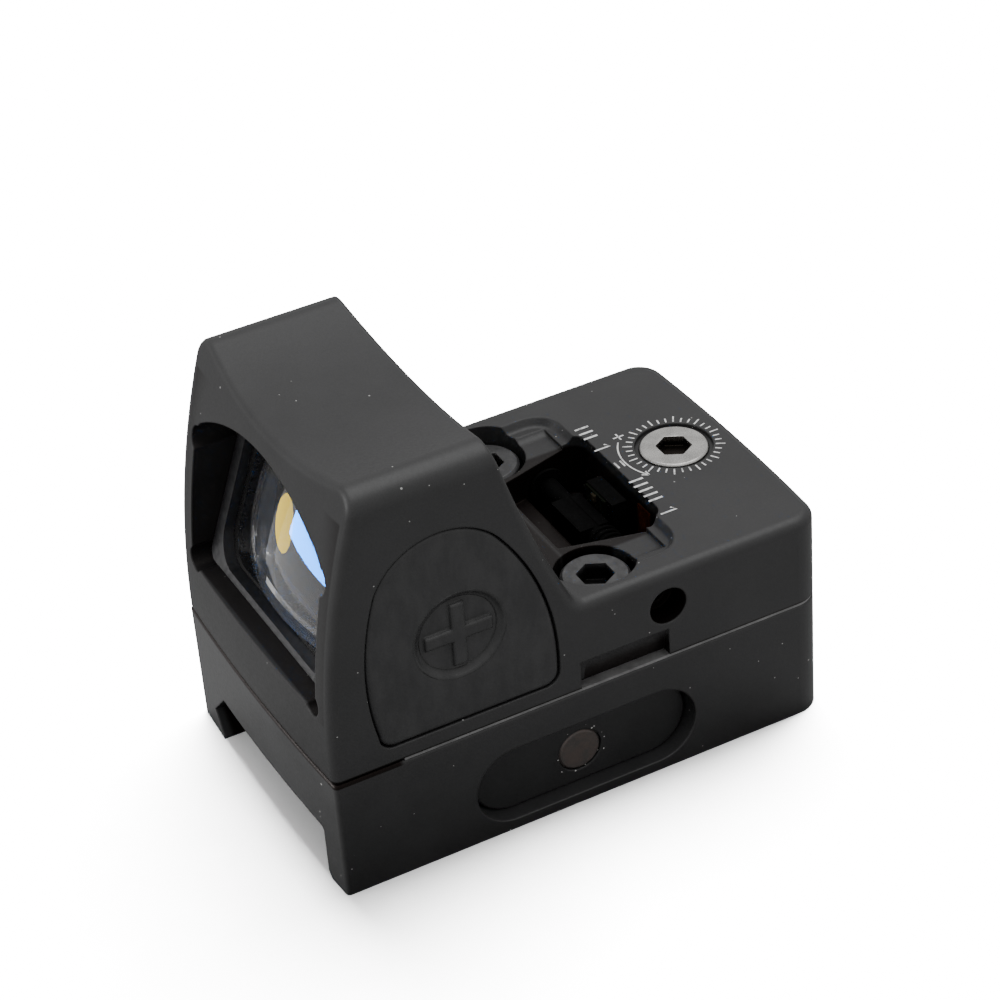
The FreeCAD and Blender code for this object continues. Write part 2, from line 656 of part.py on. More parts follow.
def housing_cuts():
    """Everything taken out of the housing's outer form."""
    seat = ("seat_foot", "seat_tilt")
    window = cut("cut_window", window_prism("cut_window_prism", "0"),
                 [tilted_slab("cut_window_stop", *seat, "0", "60")])
    aperture = window_prism("cut_aperture", "0", APERTURE, length="24")
    tunnel = common("cut_tunnel", [
        window_prism("cut_tunnel_prism", "0", TUNNEL, length="36"),
        tilted_slab("cut_tunnel_start", *seat, "1.5", "60")])
    tools = [window, aperture, tunnel]

    for side in ("1", "-1"):
        tag = "right" if side == "1" else "left"
        tools.append(cylinder(f"cut_low_relief_{tag}", (f"{side} * 11.15", "-26", "17.75"), "1.1", "7.5", "y"))
        tools.append(cylinder(f"cut_high_relief_{tag}", (f"{side} * 11.2", "-26", "28.9"), "1.25", "9", "y"))
        tools.append(cylinder(f"cut_counterbore_{tag}", (f"{side} * screw_x", "screw_y", "screw_seat - 0.05"),
                              "counterbore_radius", "5.3"))
        tools.append(cylinder(f"cut_screw_hole_{tag}", (f"{side} * screw_x", "screw_y", "11"),
                              "screw_radius + 0.15", "6"))

    dish = new_body("cut_dish")
    rim = sketch_in(dish, "cut_dish_outline", "xy", "dish_floor")
    rounded_box(rim, ("-11.05", "0.3"), ("11.05", "10.6"), "2.1")
    pad(dish, rim, "deck_top - dish_floor + 0.3").TaperAngle = 35
    round_edges(dish, "0.45", lambda e: middle_of(e).z < number("dish_floor") + 0.01)
    tools.append(dish)

    def well_outline(sketch, front, half_front):
        outline(sketch,
                [(f"-{half_front}", front), (half_front, front), ("7.15", "10.3"), ("5.7", "well_rear"),
                 ("-5.7", "well_rear"), ("-7.15", "10.3")],
                {2: ("1.45", LEFT), 4: ("1.45", LEFT)})
    tools.append(prism("cut_well_front", "xy", "16.0", "6", lambda s: well_outline(s, "well_front", "5.15")))
    tools.append(prism("cut_well_rear", "xy", "well_floor", "8", lambda s: well_outline(s, "5.7", "5.9")))

    tools.append(cylinder("cut_dial_bore", ("dial_x", "dial_y", "dial_seat"), "dial_bore_radius", "5"))
    tools.append(cylinder("cut_elevation_bore", ("dial_x", "dial_y", "16"),
                          "elevation_shaft_radius + running_gap", "3"))
    tools.append(cylinder("cut_windage_bore", ("-half_width - 1", "windage_y", "windage_z"),
                          "windage_bore_radius", "1 + half_width + windage_seat", "x"))
    tools.append(cylinder("cut_windage_shaft", ("-half_width", "windage_y", "windage_z"),
                          "windage_shaft_radius + running_gap", "half_width + 12", "x"))
    tools.append(cylinder("cut_side_hole", ("11.8", "windage_y", "windage_z"), "side_hole_radius", "5", "x"))

    tools.append(prism("cut_side_notch", "xz", "0.4", "8.2", lambda s: outline(
        s, [("half_width + 0.01", "14.2"), ("half_width - 1.0", "11"), ("half_width + 1", "11"),
            ("half_width + 1", "14.2")], {0: ("6", LEFT)}), reverse=True))

    recess = prism("cut_plus_recess", "yz", "half_width - button_recess", "3", button_outline)
    pad_bore = cylinder("cut_plus_bore", ("button_floor", "button_y", "button_z"),
                        "button_pad_radius + 0.15", "3", "x")
    lead_slot = box("cut_plus_lead_slot", ("12.15", "button_y - 0.6", "13.9"), ("1.0", "1.2", "5"))
    lead_hole = box("cut_plus_lead_hole", ("8.5", "button_y - 0.6", "13.9"), ("4", "1.2", "0.8"))
    button_cut = fuse("cut_plus_side", [recess, pad_bore, lead_slot, lead_hole])
    tools += [button_cut, mirrored("cut_minus_side", button_cut)]

    tools.append(cylinder("cut_battery", ("0", "battery_y", "11"), "battery_pocket_radius",
                          "battery_pocket_top - 11"))
    tools.append(box("cut_side_contact", ("-1.8", "3.0", "11"), ("3.6", "1.25", "battery_pocket_top - 11")))
    tools.append(ring("cut_battery_groove", ("0", "battery_y", "11"), "11.7", "10.8", "1.05"))
    cavity = prism("cut_cavity", "xy", "11", "cavity_top - 11",
                   lambda s: rounded_box(s, ("-7.0", "12.6"), ("7.0", "21.0"), "1.0"))
    groove = cut("cut_cavity_groove", prism("cut_cavity_groove_rim", "xy", "11", "1.05",
                 lambda s: rounded_box(s, ("-8.3", "11.45"), ("8.3", "21.95"), "1.5")),
                 [prism("cut_cavity_groove_core", "xy", "10", "4",
                        lambda s: rounded_box(s, ("-7.4", "12.35"), ("7.4", "21.05"), "1.0"))])
    tools += [cavity, groove]
    tools.append(box("cut_arm_slot", ("dial_x - 1.4", "11", "14.35"), ("2.8", "2.5", "1.9")))
    tools.append(box("cut_flex_slot", ("2.9", "11", "13.95"), ("2.4", "2.5", "0.5")))
    tools += [cylinder(f"cut_lead_bore_{x.strip('-')}{'a' if '-' in x else 'b'}", (x, "3.5", "12.9"), "0.4",
                       "9.5", "y") for x in ("-1.0", "1.0")]
    tools += [cylinder(f"cut_dowel_bore_{i}", (x, y, "11"), "1.0 + running_gap", "1.75")
              for i, (x, y) in enumerate(DOWEL_PLACES)]
    return tools


APERTURE = ("9.2", "18.6", "31.9", "18.6", "2.4", "2.4")
TUNNEL = ("tunnel_half_width", "sill_height", "tunnel_top", "19.4", "2.6", "1.0")
LENS = ("9.7", "18.2", "32.4", "19.0", "2.6", "2.6")
RETAINER_BORE = ("10.4", "17.9", "32.95", "19.5", "2.6", "2.8")


def housing():
    return cut("housing", housing_shell(), housing_cuts())


# ---------------------------------------------------------------- lens

def lens_pieces():
    """The coated lens, the ring that frames it and the adhesive between them."""
    retainer = cut("lens_retainer",
                   common("retainer_blank", [
                       window_prism("retainer_prism", "0.1"),
                       tilted_slab("retainer_slab", "retainer_foot", "20", "0", "0.9")]),
                   [window_prism("retainer_bore", "0", RETAINER_BORE)])
    lens_tilt = "22 * 1 deg"
    centre = ("0", f"lens_vertex + lens_front_radius * cos({lens_tilt})",
              f"lens_height - lens_front_radius * sin({lens_tilt})")
    lens = cut("lens", common("lens_blank", [window_prism("lens_prism", "0", LENS),
                                             sphere("lens_front", centre, "lens_front_radius")]),
               [sphere("lens_back", centre, "lens_front_radius - lens_thickness"),
                tilted_slab("lens_seat_flat", "seat_foot", "seat_tilt", "-0.02", "60")])
    bond = cut("lens_bond", window_prism("bond_prism", "0.12"),
               [window_prism("bond_bore", "-0.04", LENS, front="-27", length="24"),
                tilted_slab("bond_front", "retainer_foot", "20", "-29.08", "30"),
                tilted_slab("bond_back", "seat_foot", "seat_tilt", "-0.02", "60")])
    return [retainer, lens, bond]


# ---------------------------------------------------------------- screws between housing and base

def mount_screws():
    """Two socket screws, one each side of the emitter well."""
    screws = []
    for side in ("1", "-1"):
        tag = "right" if side == "1" else "left"
        x = f"{side} * screw_x"
        head = cylinder(f"screw_head_{tag}", (x, "screw_y", "screw_seat"), "screw_head_radius",
                        "screw_head_top - screw_seat - 0.25")
        crown = cone(f"screw_crown_{tag}", (x, "screw_y", "screw_head_top - 0.25"), "screw_head_radius",
                     "screw_head_radius - 0.25", "0.25")
        shank = cylinder(f"screw_shank_{tag}", (x, "screw_y", "screw_bottom"), "screw_radius",
                         "screw_seat - screw_bottom")
        socket = hexagon(f"screw_socket_{tag}", (x, "screw_y", "screw_head_top - 1.6"), "2.78", "3")
        screws.append(cut(f"screw_{tag}", fuse(f"screw_blank_{tag}", [head, crown, shank]), [socket]))
    return fuse("mount_screws", screws)


# ---------------------------------------------------------------- buttons and their switches

def button_pad(name, crossed):
    """The moving pad: a disc with a raised bar, or with two that cross."""
    body = new_body(name)
    disc = sketch_in(body, name + "_disc", "yz", "button_back")
    circle(disc, "button_y", "button_z", "button_pad_radius")
    pad(body, disc, "button_face - button_back")
    low, near = ("button_y - {0}", "button_z - {0}"), ("button_y + {0}", "button_z + {0}")
    long_half, half = "2.95", "0.62"
    bars = sketch_in(body, name + "_bars", "yz", "button_face - 0.01")
    left, right = low[0].format(long_half), near[0].format(long_half)
    inner_left, inner_right = low[0].format(half), near[0].format(half)
    foot, head = low[1].format(half), near[1].format(half)
    bottom, top = low[1].format(long_half), near[1].format(long_half)
    if crossed:
        outline(bars, [(left, foot), (inner_left, foot), (inner_left, bottom), (inner_right, bottom),
                       (inner_right, foot), (right, foot), (right, head), (inner_right, head),
                       (inner_right, top), (inner_left, top), (inner_left, head), (left, head)])
    else:
        outline(bars, [(left, foot), (right, foot), (right, head), (left, head)])
    pad(body, bars, "half_width - 0.12 - button_face")
    face = number("half_width") - 0.14
    round_edges(body, "0.22", lambda e: middle_of(e).x > face)
    round_edges(body, "0.1", lambda e: abs(middle_of(e).x - number("button_face")) < 0.005
                and math.dist((middle_of(e).y, middle_of(e).z), (number("button_y"), number("button_z")))
                < number("button_pad_radius") - 0.1)
    return body


def button_pieces():
    """Moving pads, the fixed rubber round them and the switches behind, on both sides."""
    cover = new_body("plus_button_cover")
    face = sketch_in(cover, "plus_cover_outline", "yz", "half_width - button_recess + 0.02")
    button_outline(face, "0.12")
    pad(cover, face, "button_recess - 0.07")
    round_edges(cover, "0.3", lambda e: middle_of(e).x > number("half_width") - 0.06)
    hole = sketch_in(cover, "plus_cover_hole", "yz", "half_width + 1")
    circle(hole, "button_y", "button_z", "button_pad_radius + 0.08")
    pocket(cover, hole, "4")
    round_edges(cover, "0.42", lambda e: middle_of(e).x > number("half_width") - 0.06
                and e.Curve.TypeId == "Part::GeomCircle"
                and abs(e.Curve.Radius - number("button_pad_radius") - 0.08) < 0.01)
    plus = button_pad("plus_button", True)
    minus_face = button_pad("minus_face", False)
    minus = mirrored("minus_button", minus_face)
    minus_cover = mirrored("minus_button_cover", cover)

    board = box("plus_switch_board", ("button_floor + 0.03", "button_y - 2.2", "button_z - 2.2"),
                ("0.3", "4.4", "4.4"))
    dome = cone("plus_switch_dome", ("button_floor + 0.35", "button_y", "button_z"), "1.9", "0.8", "0.22", "x")
    lead = fuse("plus_switch_lead", [
        box("plus_lead_drop", ("12.2", "button_y - 0.35", "14.2"), ("0.2", "0.7", "3.35")),
        box("plus_lead_run", ("9.4", "button_y - 0.35", "14.2"), ("2.9", "0.7", "0.2"))])
    boards = fuse("switch_boards", [board, mirrored("minus_switch_board", board)])
    domes = fuse("switch_domes", [dome, mirrored("minus_switch_dome", dome)])
    leads = fuse("switch_leads", [lead, mirrored("minus_switch_lead", lead)])
    return [plus, cover, minus, minus_cover, boards, domes, leads]


# ---------------------------------------------------------------- adjusters and emitter

def coil(name, centre, radius, wire, length, pitch, axis="z"):
    """A round-wire spring along an axis, from the centre of its first end."""
    helix = DOC.addObject("Part::Helix", name + "_path")
    bind(helix, Radius=radius, Height=f"({length}) - 2 * ({wire})", Pitch=pitch)
    section = DOC.addObject("Part::Circle", name + "_section")
    bind(section, Radius=wire)
    place(section, (radius, "0", "0"), FreeCAD.Rotation(FreeCAD.Vector(1, 0, 0), 90))
    sweep = DOC.addObject("Part::Sweep", name + "_wire")
    sweep.Sections = [section]
    sweep.Spine = (helix, ["Edge1"])
    sweep.Solid = True
    sweep.Frenet = True
    raised = list(centre)
    index = "xyz".index(axis)
    raised[index] = f"({centre[index]}) + ({wire})"
    return place(sweep, raised, AXIS_TURN[axis])


def elevation_pieces():
    """The elevation adjuster with its seal, click washer, retaining ring, nut block and spring."""
    spot = ("dial_x", "dial_y")
    head = cylinder("elevation_head", (*spot, "dial_seat + 0.4"), "dial_radius",
                    "deck_top - dial_seat - 0.55")
    crown = cone("elevation_crown", (*spot, "deck_top - 0.15"), "dial_radius", "dial_radius - 0.15", "0.15")
    shaft = cylinder("elevation_shaft", (*spot, "13.2"), "elevation_shaft_radius", "dial_seat - 12.6")
    socket = hexagon("elevation_socket", (*spot, "deck_top - 0.95"), "2.7", "3")
    screw = cut("elevation_screw", fuse("elevation_blank", [head, crown, shaft]), [socket])
    seal = ring("elevation_o_ring", (*spot, "dial_seat + 0.45"), "dial_bore_radius - 0.02",
                "dial_radius + 0.05", "deck_top - dial_seat - 0.75")
    washer = ring("elevation_click_washer", (*spot, "dial_seat + 0.03"), "2.7",
                  "elevation_shaft_radius + 0.1", "0.3")
    keeper = ring("elevation_retaining_ring", (*spot, "cavity_top - 0.4"), "2.2",
                  "elevation_shaft_radius", "0.3")
    block = box("nut_block", ("dial_x - 2.5", "15.2", "14.3"), ("5.0", "4.5", "1.9"))
    bore = cylinder("nut_bore", (*spot, "14"), "elevation_shaft_radius + running_gap", "3")
    notch = box("nut_notch", ("dial_x - 1.35", "15.0", "arm_low - running_gap"),
                ("2.7", "1.1", "arm_height + 2 * running_gap"))
    nut = cut("elevation_nut", block, [bore, notch])
    spring = coil("elevation_spring", (*spot, "12.3"), "1.75", "0.17", "1.97", "0.6")
    spring.Label = "elevation_spring"
    return [screw, seal, washer, keeper, nut, spring]


def windage_pieces():
    """The windage adjuster on the -X side with its seal, washer, retaining ring, block and spring."""
    spot = ("windage_y", "windage_z")
    head = cylinder("windage_head", ("-half_width + 0.25", *spot), "windage_head_radius",
                    "half_width + windage_seat - 0.65", "x")
    crown = cone("windage_crown", ("-half_width + 0.1", *spot), "windage_head_radius - 0.15",
                 "windage_head_radius", "0.15", "x")
    shaft = cylinder("windage_shaft", ("windage_seat - 0.5", *spot), "windage_shaft_radius",
                     "11.6 - windage_seat + 0.5", "x")
    socket = hexagon("windage_socket", ("-half_width - 1", *spot), "2.0", "1.7", "x")
    screw = cut("windage_screw", fuse("windage_blank", [head, crown, shaft]), [socket])
    seal = ring("windage_o_ring", ("-half_width + 0.35", *spot), "windage_bore_radius - 0.02",
                "windage_head_radius + 0.05", "half_width + windage_seat - 0.75", "x")
    washer = ring("windage_click_washer", ("windage_seat - 0.33", *spot), "1.9",
                  "windage_shaft_radius + 0.1", "0.3", "x")
    keeper = ring("windage_retaining_ring", ("-6.05", *spot), "1.7", "windage_shaft_radius", "0.3", "x")
    block = box("slider_block", ("-2.5", "6.3", "14.4"), ("5.0", "2.7", "2.95"))
    bore = cylinder("slider_bore", ("-4", *spot), "windage_shaft_radius + running_gap", "8", "x")
    slider = cut("windage_slider", block, [bore])
    spring = coil("windage_spring", ("3.05", *spot), "1.35", "0.15", "2.9", "0.6", "x")
    spring.Label = "windage_spring"
    return [screw, seal, washer, keeper, slider, spring]


def emitter_pieces():
    """The carriage that holds the emitter, its small board, the diode and the flexible lead."""
    block = box("carriage_block", ("-2.5", "9.4", "14.5"), ("5.0", "1.4", "4.3"))
    shoulder = box("carriage_shoulder", ("-2.5", "9.3", "18.0"), ("0.7", "1.6", "1.0"))
    arm = box("carriage_arm", ("dial_x - 0.8", "10.5", "arm_low"), ("1.6", "5.45", "arm_height"))
    carriage = cut("emitter_carriage", fuse("carriage_blank", [block, arm]), [shoulder])
    board = box("emitter_board", ("-1.6", "9.17", "16.6"), ("3.2", "0.21", "2.1"))
    diode = box("emitter_led", ("-0.3", "8.9", "18.0"), ("0.6", "0.25", "0.6"))
    flex = fuse("emitter_flex", [
        box("flex_rise", ("3.1", "11.45", "14.1"), ("2.0", "0.12", "4.5")),
        box("flex_run", ("3.1", "11.45", "14.1"), ("2.0", "1.6", "0.12"))])
    return [carriage, board, diode, flex]


# ---------------------------------------------------------------- battery and electronics

def power_pieces():
    """Coin cell, its contacts and leads, the two gaskets and the control board."""
    cell = new_body("battery")
    face = sketch_in(cell, "battery_outline", "xy", "11.95")
    circle(face, "0", "battery_y", "battery_radius")
    pad(cell, face, "battery_height - 0.1")
    round_edges(cell, "0.3", lambda e: middle_of(e).z > 14)
    leaf = fuse("battery_spring_contact", [
        ring("leaf_rim", ("0", "battery_y", "11.6"), "4.0", "2.6", "0.12"),
        box("leaf_tongue", ("-1.5", "battery_y + 3.0", "11.6"), ("3.0", "6.0", "0.12"))])
    clip = box("battery_side_contact", ("-1.4", "3.62", "12.1"), ("2.8", "0.2", "2.9"))
    leads = fuse("battery_leads", [cylinder(f"lead_{tag}", (x, "3.9", "12.9"), "0.3", "9.5", "y")
                                   for tag, x in (("left", "-1.0"), ("right", "1.0"))])
    seal = ring("battery_gasket", ("0", "battery_y", "11.57"), "11.6", "10.9", "0.42")
    frame = cut("cavity_gasket",
                prism("cavity_gasket_rim", "xy", "11.57", "0.42",
                      lambda s: rounded_box(s, ("-8.2", "11.55"), ("8.2", "21.85"), "1.4")),
                [prism("cavity_gasket_core", "xy", "10", "4",
                       lambda s: rounded_box(s, ("-7.5", "12.25"), ("7.5", "21.15"), "1.1"))])
    board = prism("circuit_board", "xy", "11.65", "0.6",
                  lambda s: rounded_box(s, ("-6.8", "12.8"), ("6.8", "20.8"), "1.0"))
    chip = box("board_chip", ("2.6", "14.6", "12.27"), ("3.0", "3.0", "0.7"))
    places = [("-6.2", "13.6"), ("-6.2", "15.0"), ("-6.2", "16.4"), ("2.6", "18.6"), ("4.2", "18.6"),
              ("5.8", "18.6")]
    parts = fuse("board_parts", [box(f"board_part_{i}", (x, y, "12.27"), ("0.7", "1.1", "0.5"))
                                 for i, (x, y) in enumerate(places)])
    return [cell, leaf, clip, leads, seal, frame, board, chip, parts]


# ---------------------------------------------------------------- everything

def save(things):
    """Check every piece, stop on a bad one, and write each to its own file."""
    for thing in DOC.Objects:
        if "Invalid" in thing.State or "Error" in thing.State:
            raise RuntimeError(f"{thing.Name} is {thing.State}")
    os.makedirs("parts", exist_ok=True)
    for thing in things:
        shape = thing.Shape
        if shape.isNull() or not shape.isValid() or not shape.Solids:
            raise RuntimeError(f"{thing.Label} has no valid solid")
        shape.exportStep(f"parts/{thing.Label}.step")
        print(f"{thing.Label}: {len(shape.Solids)} solid(s), {shape.Volume:.2f} mm3")


def main():
    fill_sheet()
    things = [mount_base(), locating_dowels(), clamp_jaw(), cross_bolt(), sealing_plate(), housing(),
              mount_screws()]
    things += lens_pieces() + button_pieces() + elevation_pieces() + windage_pieces()
    things += emitter_pieces() + power_pieces()
    DOC.recompute()
    save(things)


main()
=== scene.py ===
import math

import bpy
from mathutils import Matrix, Vector


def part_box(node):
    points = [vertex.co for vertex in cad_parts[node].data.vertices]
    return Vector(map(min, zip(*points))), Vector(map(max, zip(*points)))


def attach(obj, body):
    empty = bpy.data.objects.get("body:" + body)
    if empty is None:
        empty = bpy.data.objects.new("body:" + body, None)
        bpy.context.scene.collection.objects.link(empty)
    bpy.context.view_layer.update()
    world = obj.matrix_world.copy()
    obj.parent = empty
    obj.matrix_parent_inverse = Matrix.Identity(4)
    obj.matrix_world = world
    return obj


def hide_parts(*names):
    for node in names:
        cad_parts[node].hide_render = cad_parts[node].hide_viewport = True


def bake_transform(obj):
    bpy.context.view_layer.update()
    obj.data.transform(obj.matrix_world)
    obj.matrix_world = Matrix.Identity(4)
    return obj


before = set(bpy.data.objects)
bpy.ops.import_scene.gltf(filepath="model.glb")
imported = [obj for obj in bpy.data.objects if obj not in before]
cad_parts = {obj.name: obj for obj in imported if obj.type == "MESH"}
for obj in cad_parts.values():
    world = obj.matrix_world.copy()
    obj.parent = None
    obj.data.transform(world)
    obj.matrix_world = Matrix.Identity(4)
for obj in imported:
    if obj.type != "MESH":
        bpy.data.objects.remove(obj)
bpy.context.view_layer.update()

# Looks for the red dot finder: materials on the imported nodes, the white dial marks, the rubber
# round the pads, the spring under the elevation block, and a pale studio. Metres, in the imported model's
# frame: -Y is the lens end, +X the plus button and +Z up.

MM = 0.001

DIAL = Vector((-1.0, 17.45, 19.8)) * MM      # top of the elevation screw's axis
WINDAGE = Vector((-14.0, 7.83, 16.43)) * MM  # head of the windage screw's axis
BOLT = Vector((0.0, -0.2, 4.12)) * MM        # on the cross bolt's axis
PAD = Vector((0.0, -10.6, 21.25)) * MM       # on the two button pads' axis
LENS = Vector((1.0, -18.0, 25.0)) * MM       # front of the lens, where the cards point
DECK_TOP = 19.8 * MM
PAD_FACE = 13.545 * MM                       # a pad's outer face, from the middle plane
SCREW_TOP = 18.35 * MM
BASE_TOP = 11.3 * MM
HOUSING_FRONT, HOUSING_BOTTOM = -22.9 * MM, 11.55 * MM
HOOD_BEND = 0.5 / (80.0 * MM)                # the hood's front leans back by this times height squared
PLATE_DARK_BEFORE = -16.3 * MM               # the seam is painted dark, as shade, in front of this y
MARK_HEIGHT = 0.02                           # millimetres of paint above the deck


# ---------------------------------------------------------------- camera

SENSOR = 36.0            # millimetres wide
FOCAL_PIXELS = 3155.28   # focal length in pixels of a frame 1000 wide


def add_camera():
    """The photograph's view: from the front right, above."""
    azimuth, elevation, roll = math.radians(64.341), math.radians(35.091), math.radians(-4.539)
    distance, across, above = 269.426 * MM, -1.0108 * MM, 17.6044 * MM
    back = Vector((math.sin(azimuth) * math.cos(elevation), -math.cos(azimuth) * math.cos(elevation),
                   math.sin(elevation)))
    level = (-back).cross(Vector((0, 0, 1))).normalized()
    upward = level.cross(-back)
    right = math.cos(roll) * level + math.sin(roll) * upward
    up = -math.sin(roll) * level + math.cos(roll) * upward
    data = bpy.data.cameras.new("camera")
    data.sensor_width = SENSOR
    data.lens = SENSOR * FOCAL_PIXELS / 1000.0
    data.clip_start, data.clip_end = 0.01, 20.0
    camera = bpy.data.objects.new("camera", data)
    turn = Matrix((right, up, back)).transposed().to_4x4()
    camera.matrix_world = Matrix.Translation(right * across + up * above + back * distance) @ turn
    bpy.context.scene.collection.objects.link(camera)
    bpy.context.scene.camera = camera
    return camera


# ---------------------------------------------------------------- material graphs

class Graph:
    """A material's node tree, with short calls for the nodes used here."""

    def __init__(self, name):
        self.material = bpy.data.materials.new(name)
        self.material.use_nodes = True
        self.tree = self.material.node_tree
        self.shader = self.tree.nodes["Principled BSDF"]
        self.place = self.add("ShaderNodeTexCoord").outputs["Object"]

    def add(self, kind, settings=None, **inputs):
        """A node; inputs are values or sockets, named as in Blender with _ for a space."""
        node = self.tree.nodes.new(kind)
        for key, value in (settings or {}).items():
            setattr(node, key, value)
        for key, value in inputs.items():
            self.put(node.inputs[key.replace("_", " ")], value)
        return node

    def put(self, socket, value):
        if isinstance(value, bpy.types.NodeSocket):
            self.tree.links.new(value, socket)
        else:
            socket.default_value = value

    def set(self, **inputs):
        """Set or link inputs of the Principled shader."""
        for key, value in inputs.items():
            self.put(self.shader.inputs[key.replace("_", " ")], value)

    def noise(self, size, detail=3.0, rough=0.55, vector=None):
        """Noise between 0 and 1 with features of about size metres."""
        node = self.add("ShaderNodeTexNoise", Vector=vector or self.place, Scale=1.0 / size,
                        Detail=detail, Roughness=rough)
        return node.outputs["Fac"]

    def stretched(self, scale):
        """The place, scaled along each axis."""
        return self.add("ShaderNodeMapping", Vector=self.place, Scale=scale).outputs["Vector"]

    def maths(self, operation, first, second=0.0):
        node = self.add("ShaderNodeMath", {"operation": operation})
        self.put(node.inputs[0], first)
        self.put(node.inputs[1], second)
        return node.outputs[0]

    def vector(self, operation, first, second=(0, 0, 0)):
        node = self.add("ShaderNodeVectorMath", {"operation": operation})
        self.put(node.inputs[0], first)
        self.put(node.inputs[1], second)
        return node.outputs["Value" if operation in ("LENGTH", "DOT_PRODUCT", "DISTANCE") else "Vector"]

    def spread(self, value, low, high, first=0.0, last=1.0):
        """value from low..high mapped to first..last, and held there."""
        node = self.add("ShaderNodeMapRange", {"clamp": True, "interpolation_type": "SMOOTHSTEP"})
        for socket, number in zip(node.inputs, (value, low, high, first, last)):
            self.put(socket, number)
        return node.outputs[0]

    def mix(self, share, first, second):
        """Colour from first to second."""
        node = self.add("ShaderNodeMix", {"data_type": "RGBA"})
        for socket, value in ((node.inputs[0], share), (node.inputs[6], first), (node.inputs[7], second)):
            if isinstance(value, tuple) and len(value) == 3:
                value = (*value, 1.0)
            self.put(socket, value)
        return node.outputs[2]

    def specks(self, cell, share, size):
        """1 on a few small round specks and 0 elsewhere: cell apart, in that share of the cells."""
        near = self.add("ShaderNodeTexVoronoi", {"feature": "F1"}, Vector=self.place, Scale=1.0 / cell)
        dot = self.maths("LESS_THAN", near.outputs["Distance"], size / cell)
        chosen = self.maths("GREATER_THAN", self.add(
            "ShaderNodeSeparateColor", Color=near.outputs["Color"]).outputs[0], 1.0 - share)
        return self.maths("MULTIPLY", dot, chosen)

    def soft_edge(self, radius):
        """The normal with edges rounded, and 1 where an edge is."""
        bevel = self.add("ShaderNodeBevel", {"samples": 6}, Radius=radius).outputs[0]
        flat = self.add("ShaderNodeNewGeometry").outputs["Normal"]
        bend = self.vector("DOT_PRODUCT", bevel, flat)
        return bevel, self.spread(bend, 0.995, 0.86)

    def bump(self, height, distance, normal=None):
        node = self.add("ShaderNodeBump", Height=height, Distance=distance, Strength=1.0)
        if normal is not None:
            self.put(node.inputs["Normal"], normal)
        return node.outputs[0]


def block_mask(g, *spans):
    """1 inside a box. A span is (socket, low edge, high edge, softness), with edges in millimetres."""
    mask = 1.0
    for value, low, high, soft in spans:
        mask = g.maths("MULTIPLY", mask, g.spread(value, (low - soft) * MM, (low + soft) * MM))
        mask = g.maths("MULTIPLY", mask, g.spread(value, (high + soft) * MM, (high - soft) * MM))
    return mask


def off_axis(g, point):
    """Distance from the line through point along X."""
    return g.vector("DISTANCE", g.vector("MULTIPLY", g.place, (0, 1, 1)), (0, point.y, point.z))


def housing_hollow_shade(g):
    """Painted shade: 1 in the housing's hollows, which go near black: emitter well, front opening, side
    hole, notch (darker towards its bottom) and seam.
    """
    x, y, z = g.add("ShaderNodeSeparateXYZ", Vector=g.place).outputs
    across = g.maths("ABSOLUTE", x)
    well = block_mask(g, (across, -10, 7.4, 0.2), (y, 2.5, 12.0, 0.3), (z, 0, 18.8, 0.2))
    tunnel = block_mask(g, (across, -10, 10.0, 2.2), (y, -12.0, 2.5, 0.3), (z, 0, 19.1, 0.2))
    rise = g.maths("MAXIMUM", g.maths("SUBTRACT", z, HOUSING_BOTTOM), 0.0)
    lean = g.maths("MULTIPLY", g.maths("MULTIPLY", rise, rise), HOOD_BEND)
    behind_front = g.maths("SUBTRACT", y, g.maths("ADD", lean, HOUSING_FRONT))
    recess = block_mask(g, (across, -10, 13.1, 0.1), (behind_front, 0.4, 1000, 0.1),
                        (z, 16.6, 34.5, 0.1), (y, -1000, -9.0, 1.0))
    hole = g.maths("MULTIPLY", g.spread(x, 13.98 * MM, 13.85 * MM), g.spread(x, 8.5 * MM, 8.8 * MM))
    hole = g.maths("MULTIPLY", hole, g.spread(off_axis(g, WINDAGE), 1.95 * MM, 1.9 * MM))
    notch = block_mask(g, (x, 13.0, 1000, 0.02), (y, 0.35, 8.25, 0.02))
    notch = g.maths("MULTIPLY", notch, g.spread(z, 13.9 * MM, 12.4 * MM))
    notch = g.maths("MULTIPLY", notch, g.spread(x, 14.04 * MM, 13.95 * MM))
    seam = g.spread(z, HOUSING_BOTTOM + 0.17 * MM, HOUSING_BOTTOM + 0.05 * MM)
    dark = g.maths("MAXIMUM", hole, notch)
    for mask, share in ((well, 1.0), (tunnel, 0.9), (recess, 0.75), (seam, 0.9)):
        dark = g.maths("MAXIMUM", dark, g.maths("MULTIPLY", mask, share))
    return dark


def base_hollow_shade(g):
    """Painted shade: 1 inside the base's rail channel, and on its rounded rim under the seam in front."""
    x, y, z = g.add("ShaderNodeSeparateXYZ", Vector=g.place).outputs
    channel = block_mask(g, (x, -10.98, 11.02, 0.02), (y, -21.9, 1000, 0.3), (z, -1000, 5.12, 0.03))
    rim = g.maths("MULTIPLY", g.spread(z, BASE_TOP - 0.42 * MM, BASE_TOP - 0.32 * MM),
                  g.spread(y, PLATE_DARK_BEFORE, PLATE_DARK_BEFORE - 0.5 * MM))
    return g.maths("MAXIMUM", channel, rim)


